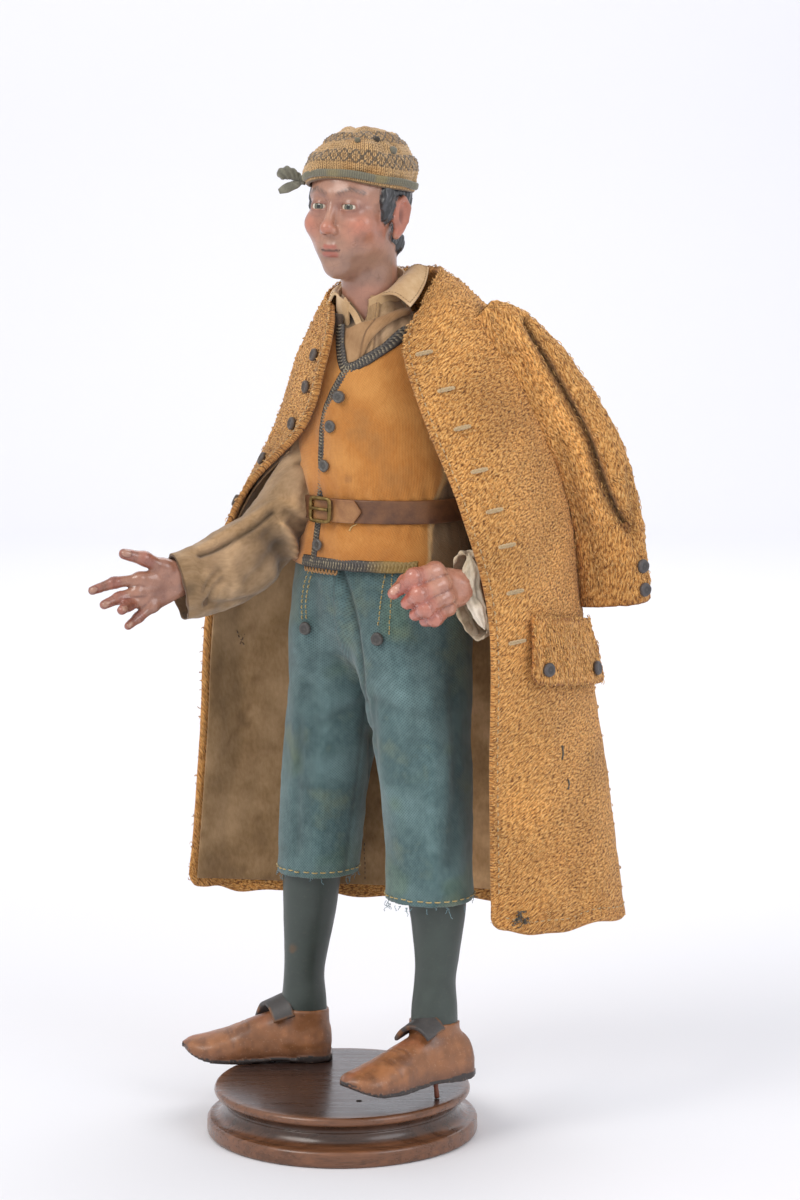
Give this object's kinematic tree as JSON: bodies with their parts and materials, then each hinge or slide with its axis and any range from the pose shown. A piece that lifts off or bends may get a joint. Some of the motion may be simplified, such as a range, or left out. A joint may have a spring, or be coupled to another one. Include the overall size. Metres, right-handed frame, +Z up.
{
  "type": "crib figure",
  "caption": "Dressed standing crib figure with a coat over the shoulders, a vest, breeches and a knitted cap, on a round turned plinth.",
  "frame": {"origin": "centre of the plinth's flat underside", "axes": "+Z up along the plinth's axis, -Y towards the display front, +X to the viewer's right as one faces that front"},
  "size_m": [0.2255, 0.1347, 0.4114],
  "materials": {
    "turned_wood": "turned hardwood, stained brown and polished",
    "peg_wood": "small dark peg",
    "painted_stocking": "carved wood, satin grey-green paint with tan shoes",
    "strap_leather": "thin dark grey leather",
    "linen_twill": "blue-green linen twill, faded",
    "raw_linen": "plain natural linen",
    "kerchief_cloth": "plain tan cotton",
    "silk_linen": "orange-yellow plain-weave silk and linen",
    "braid_thread": "dark grey woven braid",
    "button_metal": "small darkened pewter buttons",
    "belt_leather": "brown leather, worn",
    "buckle_brass": "cast brass, tarnished",
    "boucle_wool": "mustard boucle wool",
    "lining_linen": "brownish linen",
    "painted_terracotta": "painted terracotta, glossy varnish",
    "painted_hand": "carved wood, painted flesh colour",
    "knitted_cotton": "knitted ochre thread",
    "ribbon_silk": "green-grey silk ribbon"
  },
  "bodies": {
    "root": {"plinth": "turned_wood", "support_peg": "peg_wood", "leg_left": "painted_stocking", "shoe_strap_left": "strap_leather", "hand_left": "painted_hand", "pocket_flap_left": "boucle_wool", "pocket_button_left_front": "button_metal", "pocket_button_left_back": "button_metal", "cuff_button_left_lower": "button_metal", "cuff_button_left_upper": "button_metal", "leg_right": "painted_stocking", "shoe_strap_right": "strap_leather", "hand_right": "painted_hand", "pocket_flap_right": "boucle_wool", "pocket_button_right_front": "button_metal", "pocket_button_right_back": "button_metal", "cuff_button_right_lower": "button_metal", "cuff_button_right_upper": "button_metal", "breeches": "linen_twill", "breeches_button_1": "button_metal", "breeches_button_2": "button_metal", "shirt": "raw_linen", "neckerchief": "kerchief_cloth", "vest": "silk_linen", "vest_braid": "braid_thread", "vest_button_1": "button_metal", "vest_button_2": "button_metal", "vest_button_3": "button_metal", "vest_button_4": "button_metal", "belt": "belt_leather", "belt_buckle": "buckle_brass", "coat": "boucle_wool", "coat_lining": "lining_linen", "coat_button_1": "button_metal", "coat_button_2": "button_metal", "coat_button_3": "button_metal", "coat_button_4": "button_metal", "coat_button_5": "button_metal", "coat_button_6": "button_metal", "coat_button_7": "button_metal", "coat_button_8": "button_metal", "head": "painted_terracotta", "cap": "knitted_cotton", "cap_ribbon": "ribbon_silk"}
  },
  "joints": []
}
